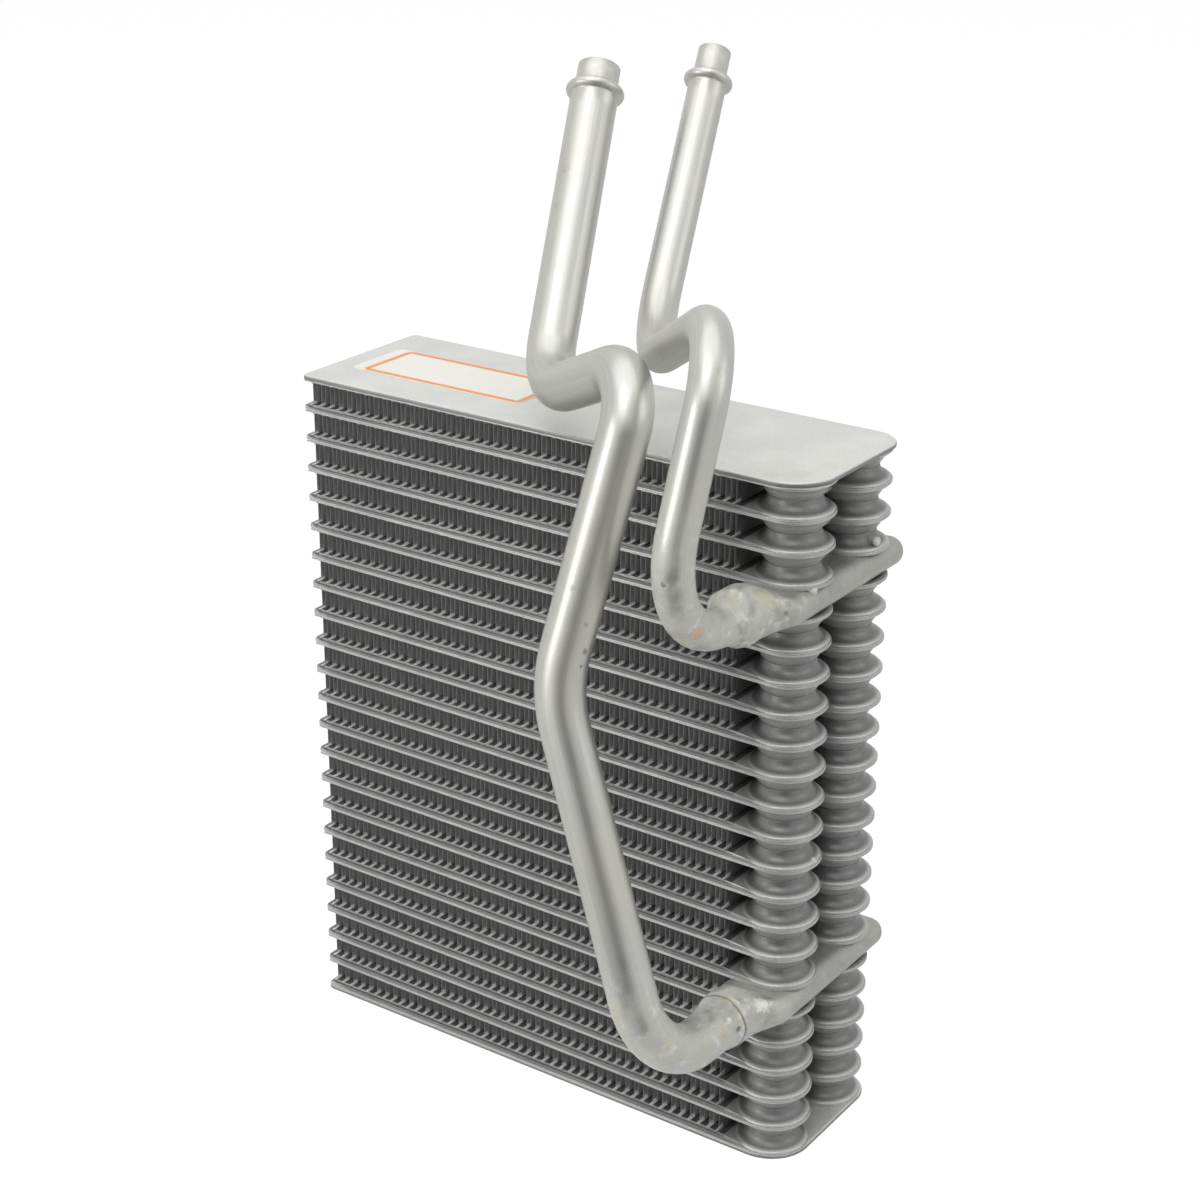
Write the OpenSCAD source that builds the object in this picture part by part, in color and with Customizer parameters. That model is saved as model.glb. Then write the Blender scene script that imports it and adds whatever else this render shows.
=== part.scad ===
// Brazed evaporator core: stamped plates paired into tubes, folded fins between them,
// drawn cups that stack into two tank columns, two flattened manifolds and two bent pipes.
// Millimetres, +Z up, origin at the middle of the underside. X runs along the tubes
// from the turn end to the tank end, Y from the front face to the back face.

/* [Core] */
// Length of the plates, from the turn end to the tank end
core_w = 201.6; // [190:0.1:260]
// Depth of the core, front face to back face
core_d = 61.6; // [57:0.1:80]
// Distance from one tube to the next
layer_pitch = 10.9; // [9.8:0.1:13]
// Thickness of the flat end plates
end_t = 1.5; // [1:0.1:3]
// Corner radius of the end plates at the turn end
turn_corner_r = 2.5; // [1:0.1:5]
// Corner radius of the end plates over the front tank
front_corner_r = 15; // [8:0.5:18]
// Corner radius of the end plates over the back tank
back_corner_r = 11; // [8:0.5:18]

/* [Tube plates] */
// Thickness of the stamped sheet
sheet_t = 0.5; // [0.3:0.05:0.6]
// Height of a channel's outside above the joint of its tube
channel_h = 1.4; // [1.2:0.05:1.9]
// Width of the joined flange along the front and the back
flange_w = 2.6; // [2:0.1:4]
// Width of the joined flange at the turn end
turn_flange_w = 2.5; // [2:0.1:4]
// Width of the rib that parts the front pass from the back pass
pass_rib_w = 3.4; // [2.4:0.1:5]
// Length of the chamber in which the flow turns back
turn_chamber_l = 18; // [10:0.5:30]

/* [Tank cups] */
// Radius of the round rim of a cup
rim_r = 13; // [12.8:0.1:13.8]
// Radius at which the wall of a cup leaves the rim
shoulder_r = 12.5; // [11.6:0.1:12.7]
// Radius of the convex bend at the foot of the cup wall
shoulder_bend = 0.9; // [0.7:0.05:1.1]
// Outer radius of the neck where two cups are brazed face to face
neck_r = 8.65; // [8.2:0.05:9]
// Outer radius of the bend from the neck to the face of a cup
face_bend = 0.7; // [0.65:0.05:0.9]
// Radius of the port through the face of a cup
port_r = 6.5; // [5:0.1:7]

/* [Fins] */
// Thickness of the fin strip
fin_t = 0.2; // [0.1:0.02:0.3]
// Length of one full fold of the fin strip
fin_pitch = 3.9; // [3.5:0.01:6]
// Width of a crest; the legs lean under it where it is wider than half a fold
fin_crest = 2.6; // [1.4:0.05:2.8]
// How far the fin stands back from the front and back faces
fin_recess = 1.8; // [0.2:0.1:3]
// Distance from the turn end to the first fin leg
fin_start = 0.8; // [0.6:0.1:8]
// Smallest gap between the last fin leg and a manifold
fin_end_gap = 0.4; // [0.3:0.1:4]

/* [Manifolds] */
// The lower manifold lies above this tube, counted from the bottom
lower_seat = 5; // [2:1:7]
// The upper manifold lies above this tube, counted from the bottom
upper_seat = 18; // [13:1:19]
// Width of the flattened part
flat_w = 26; // [23:0.5:27]
// Wall of the flattened tube
manifold_wall = 1.2; // [0.8:0.1:1.6]
// Radius of the round barrel that takes the pipe
barrel_r = 9.6; // [9.4:0.1:11]
// Length of the round barrel
barrel_l = 5.5; // [4:0.5:7]
// Length of the swaged part between the barrel and the flattened part
swage_l = 11.5; // [9:0.1:13]
// How far the flattened part reaches in front of the front face
flat_front = 0.5; // [0.2:0.1:2]
// Length of the lip that closes on the pipe
lip_l = 3; // [2:0.5:4.5]
// Radius of the lip round the suction pipe
lower_lip_r = 8.7; // [8.3:0.1:9.3]
// Radius of the lip round the liquid pipe
upper_lip_r = 7.6; // [7.1:0.1:9.3]
// Sideways offset of the barrel from the middle of the cups
stub_shift = 2.8; // [0:0.1:3]
// How far the closed end stands out behind the core
back_overhang = 4; // [2:0.5:8]
// Wall of the sleeve that carries one tank column across a manifold
sleeve_wall = 0.6; // [0.4:0.1:1]

/* [Suction pipe] */
// Outer diameter
suction_od = 15.88; // [14:0.01:16.5]
// Wall thickness
suction_wall = 1.25; // [0.9:0.05:1.6]
// Distance of the lower bend's corner in front of the core
suction_reach = 57.5; // [48:0.5:80]
// Height of the slight bend above the lower manifold
suction_knee_h = 122; // [90:1:125]
// How far the slight bend lies toward the turn end from the middle of the cups
suction_knee_shift = 42.6; // [38:0.1:46]
// How far the slight bend lies nearer to the core than the lower bend
suction_knee_back = 3.5; // [1:0.1:6]
// Height of the arch's corner above the core
suction_arch_h = 39.7; // [34:0.1:70]
// How far the arch's corner lies toward the turn end from the middle of the cups
suction_arch_shift = 28.6; // [24:0.1:34]
// How far the arch's corner lies nearer to the core than the lower bend
suction_arch_back = 28.7; // [24:0.1:34]
// Height of the low corner behind the arch above the core
suction_dip_h = 10.7; // [9:0.1:24]
// How far the low corner lies toward the turn end from the middle of the cups
suction_dip_shift = 88.2; // [80:0.1:96]
// Distance of the low corner behind the front face
suction_dip_y = 3.2; // [0:0.1:8]
// Lean of the last leg from upright, in degrees
suction_lean = 39.6; // [25:0.1:44]
// Heading of the last leg seen from above, in degrees from +X
suction_heading = 111.3; // [100:0.1:125]
// Length of the last leg, from the low corner to the open end
suction_leg = 117.7; // [80:0.1:180]

/* [Liquid pipe] */
// Outer diameter
liquid_od = 12.7; // [10:0.1:14]
// Wall thickness
liquid_wall = 1; // [0.7:0.05:1.4]
// Distance of the lower bend's corner in front of the core
liquid_reach = 64; // [63:0.5:80]
// Height of the arch's corner above the core
liquid_arch_h = 62.2; // [56:0.1:90]
// How far the arch's corner lies past the middle of the cups, away from the turn end
liquid_arch_shift = 5.6; // [2:0.1:10]
// How far the arch's corner lies nearer to the core than the lower bend
liquid_arch_back = 25; // [20:0.1:30]
// Height of the low corner behind the arch above the core
liquid_dip_h = 18; // [12:0.1:24]
// How far the low corner lies toward the turn end from the middle of the cups
liquid_dip_shift = 66.3; // [60:0.1:72]
// Distance of the low corner behind the front face
liquid_dip_y = 29.4; // [25:0.1:34]
// Lean of the last leg from upright, in degrees
liquid_lean = 40.3; // [30:0.1:44]
// Heading of the last leg seen from above, in degrees from +X
liquid_heading = 106.6; // [100:0.1:120]
// Length of the last leg, from the low corner to the open end
liquid_leg = 115.1; // [80:0.1:180]

/* [Pipe ends] */
// Length of the reduced end beyond the bead of the suction pipe
suction_tip_l = 9.5; // [8:0.1:20]
// Length of the reduced end beyond the bead of the liquid pipe
liquid_tip_l = 11.7; // [8:0.1:20]
// Step in radius from the pipe down to its reduced end
tip_step = 0.8; // [0.4:0.05:1.1]
// Height of the bead above the pipe
bead_h = 1.9; // [1:0.1:2.4]
// Radius of the bead's round edge
bead_r = 1.7; // [1:0.1:2.2]

/* [Label] */
// Length of the paper label
label_l = 72; // [40:0.5:80]
// Width of the paper label
label_w = 27; // [15:0.5:34]
// Thickness of the paper label
label_t = 0.2; // [0.1:0.05:0.4]
// Distance of the label from the turn end
label_x = 8.5; // [4:0.5:20]
// Distance of the label from the front face
label_y = 16.5; // [8:0.5:22]
// Corner radius of the label
label_r = 2; // [0.5:0.1:5]

/* [Hidden] */
$fn = 48;
tube_count = 21;
braze_gap = 0.05;
braze_film = 0.04;
play = 0.02;
arc_steps = 5;
cut = 1;

cup_x = core_w - rim_r;
front_cup_y = rim_r;
back_cup_y = core_d - rim_r;
core_h = 2 * end_t + (tube_count + 1) * layer_pitch;
lower_z = joint_z(lower_seat) + layer_pitch / 2;
upper_z = joint_z(upper_seat) + layer_pitch / 2;
stub_x = cup_x - stub_shift;

// Each plate starts half a braze film away from the joint of its tube
plate_rise = (layer_pitch - braze_film) / 2;
plate_h = channel_h - braze_film / 2;

// The flattened part fills the space between the flanges of two tubes
flat_h = 2 * (plate_rise - sheet_t);
barrel_y = -flat_front - swage_l;
pipe_end_y = barrel_y - 3;

// The channels stop short of the manifolds and open into the cups
channel_end_x = cup_x - rim_r - 1;
fin_h = layer_pitch - 2 * channel_h;

suction_route = [
    [stub_x, pipe_end_y, lower_z],
    [stub_x, -suction_reach, lower_z],
    [cup_x - suction_knee_shift, suction_knee_back - suction_reach, lower_z + suction_knee_h],
    [cup_x - suction_arch_shift, suction_arch_back - suction_reach, core_h + suction_arch_h],
    [cup_x - suction_dip_shift, suction_dip_y, core_h + suction_dip_h]
];
suction_bends = [26, 50, 15, 22];

liquid_route = [
    [stub_x, pipe_end_y, upper_z],
    [stub_x, -liquid_reach, upper_z],
    [cup_x + liquid_arch_shift, liquid_arch_back - liquid_reach, core_h + liquid_arch_h],
    [cup_x - liquid_dip_shift, liquid_dip_y, core_h + liquid_dip_h]
];
liquid_bends = [33, 21, 34];

aluminium = "#b4b6b4";
fin_grey = "#8e9092";
pipe_silver = "#c9cbc8";
paper = "#f4f1e6";

// Height of the joint between the two plates of tube k; 0 and tube_count + 1 are the ends
function joint_z(k) = end_t + k * layer_pitch;

// A gap above tube k holds a manifold instead of a pair of cups
function has_manifold(k) = k == lower_seat || k == upper_seat;

function unit(v) = v / norm(v);
function arc(cx, cy, r, a0, a1, steps) =
    [for (i = [0 : steps]) let (a = a0 + (a1 - a0) * i / steps) [cx + r * cos(a), cy + r * sin(a)]];

// Turns that bring the axes of a sub-part onto the right-handed frame x, y, z
function frame_turns(x, y, z) = [atan2(y[2], z[2]), -asin(x[2]), atan2(x[1], x[0])];

module in_core() {
    translate([-core_w / 2, -core_d / 2, 0]) children();
}

module at_cups() {
    for (y = [front_cup_y, back_cup_y]) translate([cup_x, y]) children();
}

// Outline of a tube plate: a strip with two round lobes at the tank end
module plate_outline() {
    translate([turn_corner_r, 0]) square([cup_x - turn_corner_r, core_d]);
    translate([0, turn_corner_r]) square([cup_x, core_d - 2 * turn_corner_r]);
    for (y = [turn_corner_r, core_d - turn_corner_r])
        translate([turn_corner_r, y]) circle(turn_corner_r);
    at_cups() circle(rim_r);
}

// Outline of an end plate: a rectangle with a radius of its own at each end
module end_outline() {
    a = turn_corner_r;
    f = front_corner_r;
    b = back_corner_r;
    polygon([
        [a, 0], [core_w - f, 0], [core_w, f], [core_w, core_d - b],
        [core_w - b, core_d], [a, core_d], [0, core_d - a], [0, a]
    ]);
    translate([a, a]) circle(a);
    translate([a, core_d - a]) circle(a);
    translate([core_w - f, f]) circle(f);
    translate([core_w - b, core_d - b]) circle(b);
}

// Plan of the raised channel, drawn in by inset: two passes joined at the turn end
module channel_plan(inset, cups) {
    x0 = turn_flange_w + inset;
    y0 = flange_w + inset;
    rib = pass_rib_w / 2 + inset;
    turn_x = turn_flange_w + turn_chamber_l - inset;
    difference() {
        translate([x0, y0]) square([channel_end_x - inset - x0, core_d - 2 * y0]);
        translate([turn_x, core_d / 2 - rib]) square([channel_end_x, 2 * rib]);
    }
    if (cups) {
        r = shoulder_r - shoulder_bend - play - inset;
        at_cups() circle(r);
        for (s = [0, 1]) translate([0, s * core_d]) mirror([0, s]) polygon([
            [channel_end_x - inset - 4, y0],
            [cup_x, front_cup_y - r],
            [cup_x, front_cup_y + r],
            [channel_end_x - inset, core_d / 2 - rib],
            [channel_end_x - inset - 4, core_d / 2 - rib]
        ]);
    }
}

// Profile of a drawn cup, moved in by inset: a convex bend at the foot, then a long
// concave sweep up to the neck
function cup_profile(inset) =
    let (
        foot_x = shoulder_r - shoulder_bend,
        top_z = plate_h + 2 * play,
        neck_z = plate_rise - face_bend,
        wide = foot_x - neck_r + inset,
        high = neck_z - top_z + inset
    )
    concat(
        [[0, -cut], [shoulder_r - inset, -cut]],
        arc(foot_x, top_z - shoulder_bend, shoulder_bend - inset, 0, 90, arc_steps),
        [for (i = [1 : arc_steps]) let (a = 90 * i / arc_steps)
            [foot_x - wide * sin(a), neck_z - high * cos(a)]]
    );

// The bend at the face leaves a groove round the neck, where the next cup is brazed on
module cup_outside() {
    rotate_extrude() difference() {
        polygon(concat(
            cup_profile(0),
            arc(neck_r - face_bend, plate_rise - face_bend, face_bend, 90 / arc_steps, 90,
                arc_steps - 1),
            [[0, plate_rise]]
        ));
        translate([0, -2 * cut]) square([2 * rim_r, 2 * cut]);
    }
}

module cup_inside() {
    z = plate_rise - sheet_t;
    rotate_extrude() polygon(concat(cup_profile(sheet_t), [
        [neck_r - sheet_t, z], [port_r, z], [port_r, z + sheet_t + cut], [0, z + sheet_t + cut]
    ]));
}

// One stamped plate with its joint face on z = 0 and its channel upwards; with cups where
// it meets the next tube, flat and bored where it lies on a manifold
module stamped_plate(cups) {
    difference() {
        union() {
            linear_extrude(sheet_t) plate_outline();
            linear_extrude(plate_h) channel_plan(0, cups);
            if (cups) at_cups() cup_outside();
        }
        translate([0, 0, -cut]) linear_extrude(cut + plate_h - sheet_t)
            channel_plan(sheet_t, cups);
        if (cups) at_cups() cup_inside();
        else at_cups() translate([0, 0, -cut]) cylinder(r = port_r, h = sheet_t + 2 * cut);
    }
}

module upper_plate(k) {
    in_core() color(aluminium) translate([0, 0, joint_z(k) + braze_film / 2])
        stamped_plate(!has_manifold(k));
}

module lower_plate(k) {
    in_core() color(aluminium) translate([0, 0, joint_z(k) - braze_film / 2])
        mirror([0, 0, 1]) stamped_plate(!has_manifold(k - 1));
}

// Tube k: an upper and a lower plate, brazed flange to flange
module tube(k) {
    upper_plate(k);
    lower_plate(k);
}

module bottom_cup_plate() { upper_plate(0); }

module top_cup_plate() { lower_plate(tube_count + 1); }

module bottom_end_plate() {
    in_core() color(aluminium) linear_extrude(end_t) end_outline();
}

module top_end_plate() {
    in_core() color(aluminium) translate([0, 0, core_h - end_t])
        linear_extrude(end_t) end_outline();
}

// Number of crests that have room above tube k, those above and below counted alike
function fin_crests(k) =
    let (stop_r = has_manifold(k) ? flat_w / 2 + fin_end_gap : shoulder_r - shoulder_bend / 3)
    floor((cup_x - stop_r - fin_start) / (fin_pitch / 2));

// One side of the folded strip: legs joined by flat crests, by turns below and above, that
// are brazed to the channels; half a strip's thickness lies to the given side
function fin_side(side, crests) =
    let (half = fin_pitch / 2, wide = (fin_crest - half) / 2)
    [for (i = [0 : crests - 1])
        let (
            up = i % 2 == 0 ? -1 : 1,
            out = up * side * fin_t / 2,
            x0 = i == 0 ? 0 : i * half - wide - out,
            x1 = i == crests - 1 ? crests * half : (i + 1) * half + wide + out,
            z = up * (fin_h - fin_t) / 2 + out * up
        )
        each [[x0, z], [x1, z]]
    ];

// Fin k lies above tube k - 1
module fin(k) {
    first = fin_side(1, fin_crests(k - 1));
    last = fin_side(-1, fin_crests(k - 1));
    in_core() color(fin_grey)
        translate([fin_start, core_d - fin_recess, joint_z(k - 1) + layer_pitch / 2])
        rotate([90, 0, 0]) linear_extrude(core_d - 2 * fin_recess)
        polygon(concat(first, [for (i = [len(last) - 1 : -1 : 0]) last[i]]));
}

// Section of the flattened tube, drawn in by inset
module flat_section(inset) {
    r = flat_h / 2 - inset;
    x = flat_w / 2 - flat_h / 2;
    for (s = [-1, 1]) translate([s * x, 0]) circle(r);
    translate([-x, -r]) square([2 * x, 2 * r]);
}

// Domed end that closes the flattened tube, drawn in by inset
module flat_dome(inset) {
    r = flat_h / 2 - inset;
    x = flat_w / 2 - flat_h / 2;
    rotate([90, 0, 90]) translate([0, 0, -x]) linear_extrude(2 * x) half_disc(r);
    for (s = [0, 1]) mirror([s, 0, 0]) translate([x, 0, 0])
        rotate_extrude(angle = 90) half_disc(r);
}

module half_disc(r) {
    intersection() {
        circle(r);
        translate([0, -r]) square([r, 2 * r]);
    }
}

// Flattened part with its domed end and the swage that rounds it off to the given radius,
// all drawn in by inset
module manifold_form(inset, round_r) {
    dome_y = core_d + back_overhang - flat_h / 2;
    translate([0, dome_y, 0]) rotate([90, 0, 0])
        linear_extrude(dome_y + flat_front) flat_section(inset);
    translate([0, dome_y, 0]) flat_dome(inset);
    hull() {
        translate([0, -flat_front, 0]) rotate([90, 0, 0])
            linear_extrude(play) flat_section(inset + play);
        translate([-stub_shift, barrel_y + play, 0]) rotate([90, 0, 0])
            cylinder(r = round_r - play, h = play);
    }
}

// Manifold at height z for a pipe of radius pipe_r; it opens to the cups above and below
// at port_y, and a sleeve crosses it at sleeve_y
module manifold(z, pipe_r, bore_r, lip_r, port_y, sleeve_y) {
    in_core() color(aluminium) difference() {
        translate([cup_x, 0, z]) {
            manifold_form(0, barrel_r);
            translate([-stub_shift, barrel_y, 0]) rotate([90, 0, 0]) {
                cylinder(r = barrel_r, h = barrel_l);
                translate([0, 0, barrel_l]) cylinder(r1 = barrel_r, r2 = lip_r, h = lip_l);
            }
        }
        translate([cup_x, 0, z]) {
            manifold_form(manifold_wall, bore_r);
            translate([-stub_shift, barrel_y, 0]) rotate([90, 0, 0])
                cylinder(r = bore_r, h = barrel_y - pipe_end_y + cut);
            translate([-stub_shift, pipe_end_y, 0]) rotate([90, 0, 0])
                cylinder(r = pipe_r + braze_gap, h = barrel_l + lip_l);
        }
        translate([cup_x, port_y, z - layer_pitch / 2]) cylinder(r = port_r, h = layer_pitch);
        translate([cup_x, sleeve_y, z - layer_pitch / 2])
            cylinder(r = port_r + sleeve_wall + braze_gap, h = layer_pitch);
    }
}

module sleeve(z, y) {
    in_core() color(aluminium) translate([cup_x, y, z - flat_h / 2]) difference() {
        cylinder(r = port_r + sleeve_wall, h = flat_h);
        translate([0, 0, -cut]) cylinder(r = port_r, h = flat_h + 2 * cut);
    }
}

module lower_manifold() {
    manifold(lower_z, suction_od / 2, suction_od / 2 - suction_wall, lower_lip_r,
        back_cup_y, front_cup_y);
}

module upper_manifold() {
    manifold(upper_z, liquid_od / 2, liquid_od / 2 - liquid_wall, upper_lip_r,
        front_cup_y, back_cup_y);
}

module lower_sleeve() { sleeve(lower_z, front_cup_y); }

module upper_sleeve() { sleeve(upper_z, back_cup_y); }

// Straight run of pipe from a to b
module run(a, b, od, wall) {
    d = b - a;
    translate(a) rotate([0, acos(d[2] / norm(d)), atan2(d[1], d[0])]) difference() {
        cylinder(d = od, h = norm(d));
        translate([0, 0, -cut]) cylinder(d = od - 2 * wall, h = norm(d) + 2 * cut);
    }
}

// Distance from a corner of the route to where its bend starts
function bend_room(p, q, s, r) = r * tan(acos(unit(q - p) * unit(s - q)) / 2);

// Bend of radius r round corner q, on the way from p to s. Its wall is thinner by a hair
// than the straight runs' and reaches a hair into them, so that they make one piece
module bend(p, q, s, r, od, wall) {
    u = unit(q - p);
    v = unit(s - q);
    x = -unit(v - (u * v) * u);
    start = q - u * bend_room(p, q, s, r);
    over = play * 10 / r * 180 / PI;
    translate(start - x * r) rotate(frame_turns(x, u, cross(x, u))) rotate([0, 0, -over])
        rotate_extrude(angle = acos(u * v) + 2 * over) translate([r, 0]) difference() {
            circle(d = od - 2 * play);
            circle(d = od - 2 * wall + 2 * play);
        }
}

// Open end of a pipe, from l_bead before the bead: a formed bead, then a reduced end
module pipe_end(od, wall, before, tip_l) {
    r = od / 2;
    tip = r - tip_step;
    edge = r + bead_h - bead_r;
    rotate_extrude() polygon(concat(
        [[r - wall + play, -play * 10], [r - play, -play * 10], [r - play, before - bead_r - 0.3]],
        arc(edge, before, bead_r, -90, 90, 2 * arc_steps),
        [[tip + 0.3, before + bead_r + 0.2], [tip, before + bead_r + 0.6]],
        [[tip, before + tip_l], [tip - wall, before + tip_l]],
        [[tip - wall, before + bead_r], [r - wall + play, before - bead_r]]
    ));
}

// Whole pipe: route corners, bend radii, then the last leg along lean and heading
module pipe(route, bends, lean, heading, leg, tip_l, od, wall) {
    n = len(route);
    way = [sin(lean) * cos(heading), sin(lean) * sin(heading), cos(lean)];
    before = 6;
    full = concat(route, [route[n - 1] + way * (leg - tip_l - before)]);
    room = concat([0], [for (i = [1 : n - 1])
        bend_room(full[i - 1], full[i], full[i + 1], bends[i - 1])], [0]);
    in_core() color(pipe_silver) {
        for (i = [0 : n - 1]) let (d = unit(full[i + 1] - full[i]))
            run(full[i] + d * room[i], full[i + 1] - d * room[i + 1], od, wall);
        for (i = [1 : n - 1])
            bend(full[i - 1], full[i], full[i + 1], bends[i - 1], od, wall);
        translate(full[n]) rotate([0, lean, heading]) pipe_end(od, wall, before, tip_l);
    }
}

module suction_pipe() {
    pipe(suction_route, suction_bends, suction_lean, suction_heading, suction_leg,
        suction_tip_l, suction_od, suction_wall);
}

module liquid_pipe() {
    pipe(liquid_route, liquid_bends, liquid_lean, liquid_heading, liquid_leg,
        liquid_tip_l, liquid_od, liquid_wall);
}

// Blank paper label on the top plate
module label() {
    in_core() color(paper) translate([label_x, label_y, core_h]) linear_extrude(label_t) {
        translate([label_r, 0]) square([label_l - 2 * label_r, label_w]);
        translate([0, label_r]) square([label_l, label_w - 2 * label_r]);
        for (x = [label_r, label_l - label_r], y = [label_r, label_w - label_r])
            translate([x, y]) circle(label_r);
    }
}

top_end_plate();
bottom_end_plate();
top_cup_plate();
bottom_cup_plate();
tube(1);  // tube_01
tube(2);  // tube_02
tube(3);  // tube_03
tube(4);  // tube_04
tube(5);  // tube_05
tube(6);  // tube_06
tube(7);  // tube_07
tube(8);  // tube_08
tube(9);  // tube_09
tube(10);  // tube_10
tube(11);  // tube_11
tube(12);  // tube_12
tube(13);  // tube_13
tube(14);  // tube_14
tube(15);  // tube_15
tube(16);  // tube_16
tube(17);  // tube_17
tube(18);  // tube_18
tube(19);  // tube_19
tube(20);  // tube_20
tube(21);  // tube_21
fin(1);  // fin_01
fin(2);  // fin_02
fin(3);  // fin_03
fin(4);  // fin_04
fin(5);  // fin_05
fin(6);  // fin_06
fin(7);  // fin_07
fin(8);  // fin_08
fin(9);  // fin_09
fin(10);  // fin_10
fin(11);  // fin_11
fin(12);  // fin_12
fin(13);  // fin_13
fin(14);  // fin_14
fin(15);  // fin_15
fin(16);  // fin_16
fin(17);  // fin_17
fin(18);  // fin_18
fin(19);  // fin_19
fin(20);  // fin_20
fin(21);  // fin_21
fin(22);  // fin_22
lower_manifold();
upper_manifold();
lower_sleeve();
upper_sleeve();
suction_pipe();
liquid_pipe();
label();
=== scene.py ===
import math

import bmesh
import bpy
from mathutils import Matrix, Vector, noise


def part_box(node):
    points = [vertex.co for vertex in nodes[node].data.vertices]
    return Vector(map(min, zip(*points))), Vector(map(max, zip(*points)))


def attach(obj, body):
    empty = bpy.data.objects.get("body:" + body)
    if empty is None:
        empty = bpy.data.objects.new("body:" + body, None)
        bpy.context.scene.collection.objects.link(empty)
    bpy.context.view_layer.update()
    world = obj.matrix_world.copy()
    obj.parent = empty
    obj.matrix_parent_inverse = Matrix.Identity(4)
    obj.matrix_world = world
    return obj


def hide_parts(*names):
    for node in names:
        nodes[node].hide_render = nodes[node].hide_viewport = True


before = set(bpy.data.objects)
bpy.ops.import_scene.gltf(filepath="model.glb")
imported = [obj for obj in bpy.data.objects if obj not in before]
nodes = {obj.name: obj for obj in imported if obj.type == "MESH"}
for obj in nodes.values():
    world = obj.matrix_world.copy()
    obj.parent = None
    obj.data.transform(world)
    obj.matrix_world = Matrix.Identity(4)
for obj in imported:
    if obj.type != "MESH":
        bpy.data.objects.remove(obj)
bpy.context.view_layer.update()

# Studio. One camera at the photograph's place, a pale floor that carries the shadow, and
# soft lamps round the core. Two dark cards, which only reflections see, stand for the unlit
# part of the room and the table in front, which the bright pipes mirror.
camera_place = Vector((0.4313, -0.6191, 0.4834))
camera_right = Vector((0.82124, 0.57056, 0.00459))
camera_up = Vector((-0.22054, 0.30998, 0.92481))
camera_back = camera_right.cross(camera_up)

photo_camera = bpy.data.objects.new("photo_camera", bpy.data.cameras.new("photo_camera"))
photo_camera.data.lens = 71.77
photo_camera.data.sensor_width = 36
photo_camera.data.sensor_fit = "HORIZONTAL"
photo_camera.data.clip_start = 0.05
photo_camera.data.clip_end = 30
photo_camera.matrix_world = Matrix(
    (
        (camera_right.x, camera_up.x, camera_back.x, camera_place.x),
        (camera_right.y, camera_up.y, camera_back.y, camera_place.y),
        (camera_right.z, camera_up.z, camera_back.z, camera_place.z),
        (0, 0, 0, 1),
    )
)
bpy.context.scene.collection.objects.link(photo_camera)
bpy.context.scene.camera = photo_camera
bpy.context.scene.view_settings.view_transform = "Standard"


def feed(tree, value, socket):
    if isinstance(value, bpy.types.NodeSocket):
        tree.links.new(value, socket)
    elif isinstance(value, tuple) and len(value) == 3:
        socket.default_value = (*value, 1)
    else:
        socket.default_value = value


def tally(tree, operation, *values):
    node = tree.nodes.new("ShaderNodeMath")
    node.operation = operation
    for socket, value in zip(node.inputs, values):
        feed(tree, value, socket)
    return node.outputs[0]


studio = bpy.data.worlds.new("studio")
studio.use_nodes = True
tree = studio.node_tree
tree.nodes.clear()
ray = tree.nodes.new("ShaderNodeLightPath").outputs
mirrored = tally(tree, "MAXIMUM", ray["Is Glossy Ray"], ray["Is Transmission Ray"])
in_sight = tally(tree, "MAXIMUM", ray["Is Camera Ray"], mirrored)
room = tree.nodes.new("ShaderNodeBackground")
room.inputs["Color"].default_value = (0.95, 0.97, 1.0, 1)
room.inputs["Strength"].default_value = 0.3
backdrop = tree.nodes.new("ShaderNodeBackground")
backdrop.inputs["Color"].default_value = (1, 1, 1, 1)
backdrop.inputs["Strength"].default_value = 1.0
chosen = tree.nodes.new("ShaderNodeMixShader")
tree.links.new(in_sight, chosen.inputs[0])
tree.links.new(room.outputs[0], chosen.inputs[1])
tree.links.new(backdrop.outputs[0], chosen.inputs[2])
tree.links.new(chosen.outputs[0], tree.nodes.new("ShaderNodeOutputWorld").inputs["Surface"])
bpy.context.scene.world = studio


def soft_lamp(name, place, aim, width, power):
    data = bpy.data.lights.new(name, "AREA")
    data.shape = "SQUARE"
    data.size = width
    data.energy = power
    lamp = bpy.data.objects.new(name, data)
    lamp.location = place
    lamp.rotation_euler = (Vector(aim) - Vector(place)).to_track_quat("-Z", "Y").to_euler()
    bpy.context.scene.collection.objects.link(lamp)


soft_lamp("top_lamp", (-0.1, -0.2, 1.7), (0, 0, 0.1), width=2.0, power=14)
soft_lamp("front_lamp", (0.2, -1.2, 1.5), (0, 0, 0.15), width=1.2, power=8)
soft_lamp("left_lamp", (-0.5, -1.15, 0.35), (0, 0, 0.2), width=0.4, power=3.2)
soft_lamp("right_lamp", (1.7, 0.5, 0.9), (0, 0, 0.15), width=1.0, power=4)

bm = bmesh.new()
bmesh.ops.create_grid(bm, x_segments=1, y_segments=1, size=6)
floor_mesh = bpy.data.meshes.new("floor")
bm.to_mesh(floor_mesh)
bm.free()
floor = bpy.data.objects.new("floor", floor_mesh)
bpy.context.scene.collection.objects.link(floor)

floor_paint = bpy.data.materials.new("floor_paint")
floor_paint.use_nodes = True
tree = floor_paint.node_tree
tree.nodes.clear()
ray = tree.nodes.new("ShaderNodeLightPath").outputs
pale = tree.nodes.new("ShaderNodeBsdfDiffuse")
pale.inputs["Color"].default_value = (0.8, 0.8, 0.8, 1)
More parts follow.
